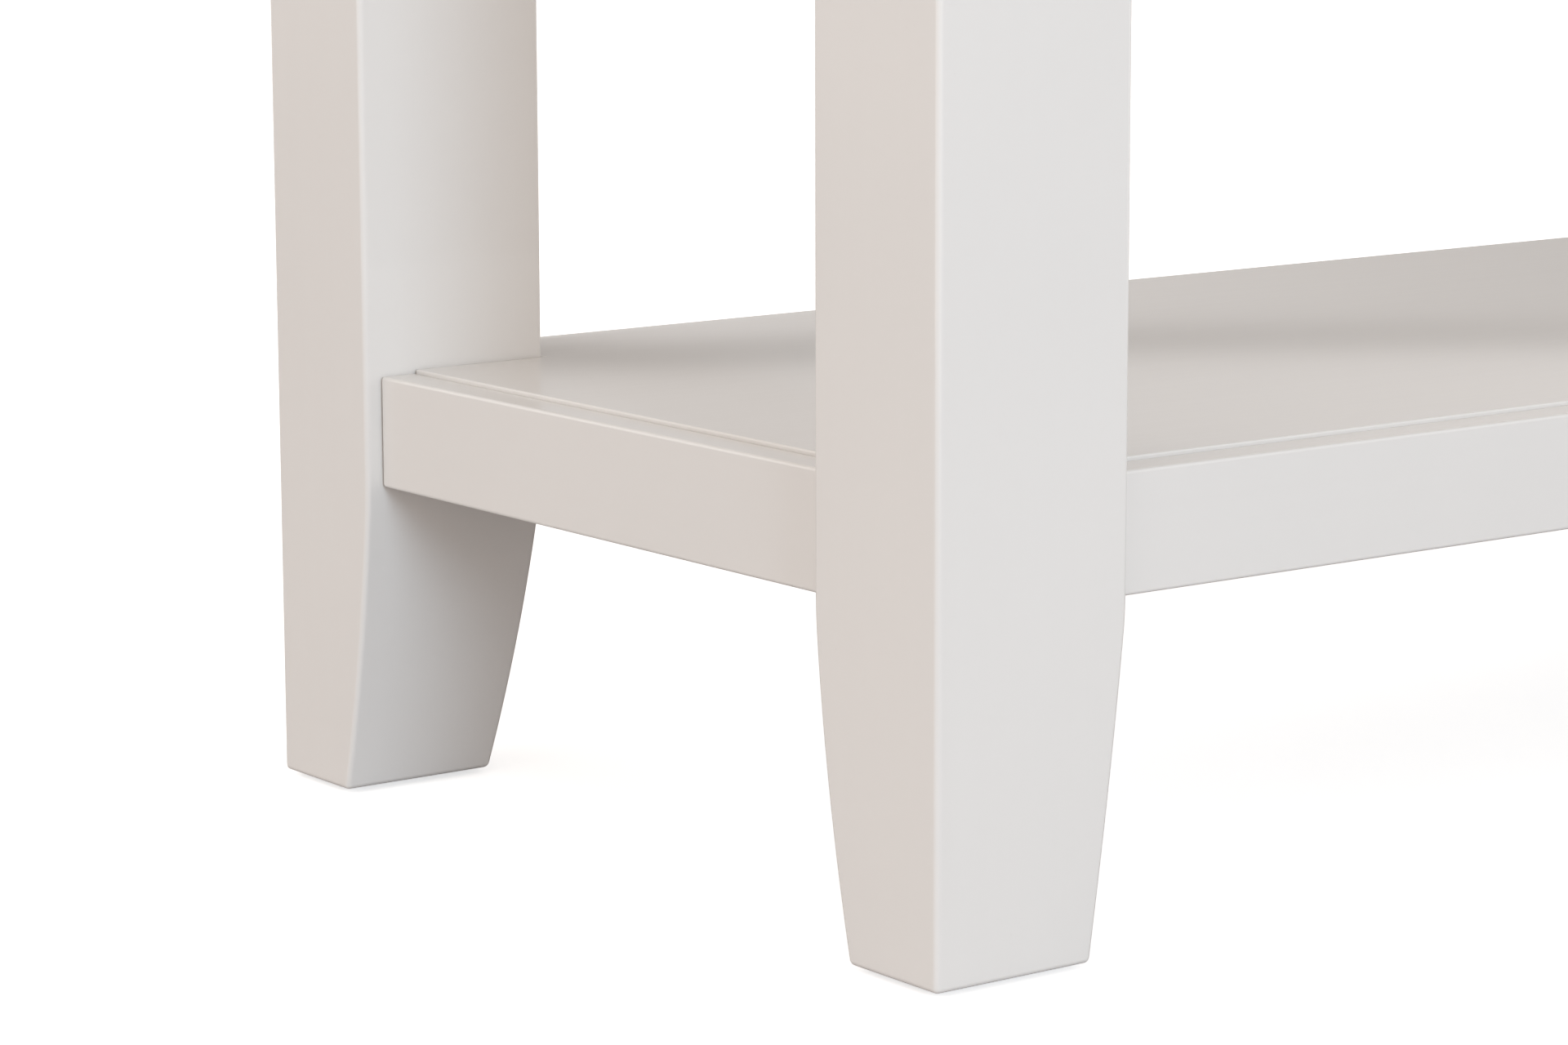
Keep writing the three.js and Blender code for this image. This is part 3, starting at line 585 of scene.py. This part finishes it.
def shelf_panel():
    """One board, notched round the legs."""
    low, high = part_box("shelf_panel")
    corner_x = INNER_X - NOTCH_GAP
    corner_y = INNER_Y - NOTCH_GAP
    quarter = [(high.x, corner_y), (corner_x, corner_y), (corner_x, high.y)]
    outline = list(quarter)
    outline += [(-x, y) for x, y in reversed(quarter)]
    outline += [(-x, -y) for x, y in quarter]
    outline += [(x, -y) for x, y in reversed(quarter)]
    straight_piece("shelf_panel", "z", outline, (low.z, high.z), PANEL_ARRIS, "x")


def make_shelf():
    shelf_rail("shelf_rail_front", "x", -1)
    shelf_rail("shelf_rail_back", "x", 1)
    shelf_rail("shelf_rail_left", "y", -1)
    shelf_rail("shelf_rail_right", "y", 1)
    shelf_panel()
    board("shelf_batten_left", "y", BOARD_ARRIS)
    board("shelf_batten_right", "y", BOARD_ARRIS)


# ---- Screws ----


def screw_outline(length):
    """A pan head with its face at Z = 0, then a shank with ringed threads and a point."""
    face_rings = (0.35, 0.7, 1.05, 1.4, 1.75, 2.1, 2.4, 2.8)
    face_radius = 2.8 * MM
    head_radius = 4.2 * MM
    head_height = 2.5 * MM
    shoulder = 1.4 * MM
    bevel = 0.3 * MM
    fillet = 0.5 * MM
    root = 1.45 * MM
    crest = 2.0 * MM
    pitch = 1.5 * MM
    plain = 2.0 * MM
    point = 4.0 * MM
    outline = [(0.0, 0.0)]
    outline += [(radius * MM, 0.0) for radius in face_rings]
    outline += curve((face_radius, 0.0), (head_radius, 0.0), (head_radius, shoulder), 5)
    outline += [(head_radius, head_height - bevel), (head_radius - bevel, head_height)]
    outline += [(root + fillet, head_height), (root, head_height + fillet)]
    start = head_height + plain
    for turn in range(int((length - point - start) / pitch)):
        low = start + turn * pitch
        outline += [(root, low), (crest, low + 0.55 * pitch), (root, low + 0.8 * pitch)]
    return outline + [(root, length - point), (0.0, length - 0.2 * MM)]


def cross_recess(x, y, height):
    """How far a point of the screw head's face is sunk for a cross-shaped driver."""
    half_width = 0.5 * MM
    arm_length = 2.2 * MM
    depth = 1.5 * MM
    sloped = 0.55  # share of the depth that is lost towards an arm's end
    if height > 0:
        return 0.0
    aside = min(abs(x), abs(y))
    out = max(abs(x), abs(y))
    if aside > half_width or out > arm_length:
        return 0.0
    return depth * (1 - sloped * out / arm_length)


def screw(node, turn):
    """turn takes the screw's own +Z, from head to point, to its direction in the table."""
    low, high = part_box(node)
    size = high - low
    mesh = turned_mesh(screw_outline(max(size)), 32, cross_recess)
    bmesh.ops.transform(mesh, matrix=turn, verts=mesh.verts)
    direction = turn.to_3x3() @ Vector((0, 0, 1))
    head = (low + high) / 2 - direction * (max(size) / 2)
    bmesh.ops.translate(mesh, vec=head, verts=mesh.verts)
    finish_piece(node, mesh)


def make_fixed_screws():
    for number in range(1, 5):
        screw(f"top_screw_{number}", Matrix.Identity(4))
        screw(f"shelf_screw_{number}", Matrix.Identity(4))


# ---- Drawers ----


def drawer_side(node, bottom, sign):
    """A side board with a groove for the drawer's bottom; sign is where its outer face looks along X."""
    low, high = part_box(node)
    floor_low, floor_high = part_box(bottom)
    outer, inner = (high.x, low.x) if sign > 0 else (low.x, high.x)
    groove = (floor_high.x if sign > 0 else floor_low.x) + sign * JOINT
    section = [(outer, low.z), (outer, high.z), (inner, high.z), (inner, floor_high.z + JOINT)]
    section += [(groove, floor_high.z + JOINT), (groove, floor_low.z - JOINT)]
    section += [(inner, floor_low.z - JOINT), (inner, low.z)]
    straight_piece(node, "y", section, (low.y, high.y), BARE_ARRIS)


def knob(node):
    """A brushed mushroom knob: a base ring, a hollow-curved neck and a low domed head."""
    low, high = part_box(node)
    length = high.y - low.y
    head = (high.x - low.x) / 2
    neck = 6.0 * MM
    base = 9.0 * MM
    brim = length - 8.0 * MM
    neck_end = 0.36 * length
    base_corner = (base - 0.4 * MM, 0.0)
    base_top = (base - 0.5 * MM, 1.6 * MM)
    under_head = (head - 1.6 * MM, brim - 0.6 * MM)
    widest = (head, brim + 1.0 * MM)
    dome = (head - 2.0 * MM, brim + 3.6 * MM)
    outline = [(0.0, 0.0), base_corner]
    outline += curve(base_corner, (base, 0.0), (base, 0.4 * MM), 4)
    outline += curve((base, 1.1 * MM), (base, 1.6 * MM), base_top, 4)
    outline += curve(base_top, (neck, 2.2 * MM), (neck, neck_end), 12)
    outline += curve((neck, neck_end), (neck, brim - 1.0 * MM), under_head, 14)
    outline += curve(under_head, (head, brim - 0.4 * MM), widest, 6)
    outline += curve(widest, (head, brim + 2.6 * MM), dome, 8)
    outline += curve(dome, (0.55 * head, length), (0.0, length), 16)
    mesh = turned_mesh(outline, 64)
    bmesh.ops.transform(mesh, matrix=Matrix.Rotation(math.radians(90), 4, "X"), verts=mesh.verts)
    centre = (low + high) / 2
    bmesh.ops.translate(mesh, vec=(centre.x, high.y, centre.z), verts=mesh.verts)
    finish_piece(node, mesh)


def catch(node):
    """A turn button with round ends."""
    low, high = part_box(node)
    centre = (low + high) / 2
    radius = (high.x - low.x) / 2
    reach = (high.z - low.z) / 2 - radius
    steps = 20
    outline = []
    for lift, start in ((reach, 0), (-reach, 180)):
        for step in range(steps + 1):
            angle = math.radians(start + 180 * step / steps)
            x = centre.x + radius * math.cos(angle)
            z = centre.z + lift + radius * math.sin(angle)
            outline.append((x, z))
    straight_piece(node, "y", outline, (low.y, high.y), CATCH_ARRIS, "z")


def drawer(side):
    prefix = f"drawer_{side}_"
    board(prefix + "front", "x", BOARD_ARRIS)
    drawer_side(prefix + "side_left", prefix + "bottom", -1)
    drawer_side(prefix + "side_right", prefix + "bottom", 1)
    board(prefix + "back", "x", BARE_ARRIS)
    board(prefix + "bottom", "x", PLYWOOD_ARRIS)
    knob(prefix + "knob")
    screw(prefix + "knob_screw", Matrix.Rotation(math.radians(90), 4, "X"))
    catch(prefix + "catch")
    screw(prefix + "catch_screw", Matrix.Rotation(math.radians(-90), 4, "X"))


# ---- Camera, lights and floor ----


def make_camera():
    """It stands in front of the table's left end, low, and looks down a little at the left legs."""
    left_of_table = 0.6143
    before_table = 0.7689
    above_feet = 0.278
    yaw = math.radians(36.674)
    pitch = math.radians(9.884)
    roll = math.radians(-0.147)

    data = bpy.data.cameras.new("camera")
    data.sensor_width = 36.0
    data.lens = 105.3
    data.clip_start = 0.05
    data.clip_end = 60.0
    camera = bpy.data.objects.new("camera", data)
    level = math.cos(pitch)
    forward = Vector((math.sin(yaw) * level, math.cos(yaw) * level, -math.sin(pitch)))
    right = Vector((math.cos(yaw), -math.sin(yaw), 0.0))
    up = right.cross(forward)
    tilted_right = math.cos(roll) * right + math.sin(roll) * up
    tilted_up = math.cos(roll) * up - math.sin(roll) * right
    turn = Matrix((tilted_right, tilted_up, -forward)).transposed()
    place = Vector((-HALF_X - left_of_table, -HALF_Y - before_table, LEG_BOTTOM + above_feet))
    camera.matrix_world = Matrix.Translation(place) @ turn.to_4x4()
    bpy.context.collection.objects.link(camera)
    bpy.context.scene.camera = camera


def make_floor_material():
    """White and self-lit where it is seen, and a duller grey in the light that it throws back."""
    material, g, shader = new_material("floor")
    cloud = g.noise(g.place(), scale=3.0, detail=3.0)
    tone = g.mix(g.remap(cloud, 0.3, 0.7), (0.90, 0.90, 0.90), (0.92, 0.92, 0.92))
    g.link(tone, shader.inputs["Base Color"])
    shader.inputs["Roughness"].default_value = 0.9
    shader.inputs["Emission Color"].default_value = (1.0, 1.0, 1.0, 1.0)
    shader.inputs["Emission Strength"].default_value = 0.62
    dull = g.node("ShaderNodeBsdfDiffuse")
    dull.inputs["Color"].default_value = (0.585, 0.555, 0.545, 1.0)
    both = g.node("ShaderNodeMixShader")
    g.link(g.node("ShaderNodeLightPath").outputs["Is Camera Ray"], both.inputs["Fac"])
    g.link(dull.outputs["BSDF"], both.inputs[1])
    g.link(shader.outputs["BSDF"], both.inputs[2])
    output = material.node_tree.nodes["Material Output"]
    g.link(both.outputs["Shader"], output.inputs["Surface"])
    return material


def make_floor():
    """A plain ground, 30 m square."""
    mesh = bmesh.new()
    bmesh.ops.create_grid(mesh, x_segments=1, y_segments=1, size=15.0)
    data = bpy.data.meshes.new("floor")
    mesh.to_mesh(data)
    mesh.free()
    floor = bpy.data.objects.new("floor", data)
    bpy.context.collection.objects.link(floor)
    data.materials.append(make_floor_material())


def make_key_light():
    """A soft lamp in front, a little to the left, that isn't mirrored in the paint."""
    place = Vector((-0.95, -3.1, 0.9))
    aim = Vector((-0.45, 0.0, 0.3))
    data = bpy.data.lights.new("key", "AREA")
    data.shape = "DISK"
    data.size = 0.8
    data.energy = 32.0
    data.color = (0.82, 0.99, 1.14)
    light = bpy.data.objects.new("key", data)
    light.location = place
    light.visible_glossy = False
    light.rotation_euler = (aim - place).to_track_quat("-Z", "Y").to_euler()
    bpy.context.collection.objects.link(light)


def make_backdrop(g, x, z):
    """Brightness behind the table: a thin dark strip low down, fading in towards the right."""
    across = g.remap(x, 0.57, 0.72)
    slanted = g.math("ADD", z, g.remap(across, 0.0, 1.0, 0.0, 0.006))
    strip_low = g.remap(slanted, 0.1316, 0.1333, smooth=True)
    strip_high = g.remap(slanted, 0.1365, 0.1405, smooth=True)
    below = g.remap(across, 0.0, 1.0, 0.92, 0.52)
    strip = g.remap(across, 0.0, 1.0, 0.0, 0.20)
    above = g.remap(across, 0.0, 1.0, 0.80, 0.96)
    return g.blend(strip_high, g.blend(strip_low, below, strip), above)


def make_world():
    """A white studio, warm and bright at the left, with a lamp high behind the table.

    It is dimmer towards the front left, and in mirror images of its far left end.
    """
    left_color, right_color = (1.445, 1.39, 1.355), (0.78, 0.755, 0.74)
    top_tint = (0.95, 0.89, 0.83)
    whole_strength = 1.54

    world = bpy.data.worlds.new("studio")
    world.use_nodes = True
    bpy.context.scene.world = world
    g = Graph(world.node_tree)
    background = world.node_tree.nodes["Background"]
    split = g.node("ShaderNodeSeparateXYZ")
    g.link(g.node("ShaderNodeTexCoord").outputs["Generated"], split.inputs["Vector"])
    x, y, z = (split.outputs[name] for name in "XYZ")

    color = g.mix(g.remap(x, -0.8, 0.2, smooth=True), left_color, right_color)
    color = g.mix(g.remap(z, 0.3, 0.85), color, top_tint, "MULTIPLY")
    g.link(color, background.inputs["Color"])

    behind = g.remap(y, -0.2, 0.5, 1.0, 0.72, smooth=True)
    overhead = g.remap(z, 0.30, 0.85, 1.0, 0.30, smooth=True)
    front_left = g.math("ADD", g.math("MULTIPLY", x, -0.6), g.math("MULTIPLY", y, -0.8))
    dimmed = g.remap(front_left, 0.55, 0.95, 1.0, 0.55, smooth=True)
    lamp_bottom = g.remap(z, 0.30, 0.42, smooth=True)
    lamp_top = g.remap(z, 0.62, 0.74, 1.0, 0.0, smooth=True)
    lamp = g.math("MULTIPLY", lamp_bottom, lamp_top)
    lamp = g.math("MULTIPLY", lamp, g.remap(y, 0.3, 0.55, 0.0, 0.9, smooth=True))
    backdrop = g.blend(g.remap(y, 0.35, 0.6, smooth=True), 1.0, make_backdrop(g, x, z))
    path = g.node("ShaderNodeLightPath")
    far_left = g.remap(x, -0.92, -0.70, 0.52, 0.0, smooth=True)
    glare = g.math("MULTIPLY", far_left, path.outputs["Is Glossy Ray"])

    strength = behind
    shares = [overhead, backdrop, dimmed, g.math("ADD", lamp, 1.0), g.math("SUBTRACT", 1.0, glare)]
    for share in shares + [whole_strength]:
        strength = g.math("MULTIPLY", strength, share)
    g.link(strength, background.inputs["Strength"])

    seen = g.node("ShaderNodeBackground")
    seen.inputs["Color"].default_value = (1.0, 1.0, 1.0, 1.0)
    both = g.node("ShaderNodeMixShader")
    g.link(path.outputs["Is Camera Ray"], both.inputs["Fac"])
    g.link(background.outputs["Background"], both.inputs[1])
    g.link(seen.outputs["Background"], both.inputs[2])
    output = world.node_tree.nodes["World Output"]
    g.link(both.outputs["Shader"], output.inputs["Surface"])


def make_studio():
    bpy.context.scene.view_settings.view_transform = "Standard"
    bpy.context.scene.view_settings.look = "None"
    make_floor()
    make_world()
    make_key_light()


# ---- The table ----

make_camera()
make_studio()
for leg_end in ("front", "rear"):
    for leg_side in ("left", "right"):
        leg(leg_end, leg_side)
        glide(leg_end, leg_side)
make_upper_frame()
make_runners()
make_shelf()
make_fixed_screws()
drawer("left")
drawer("right")
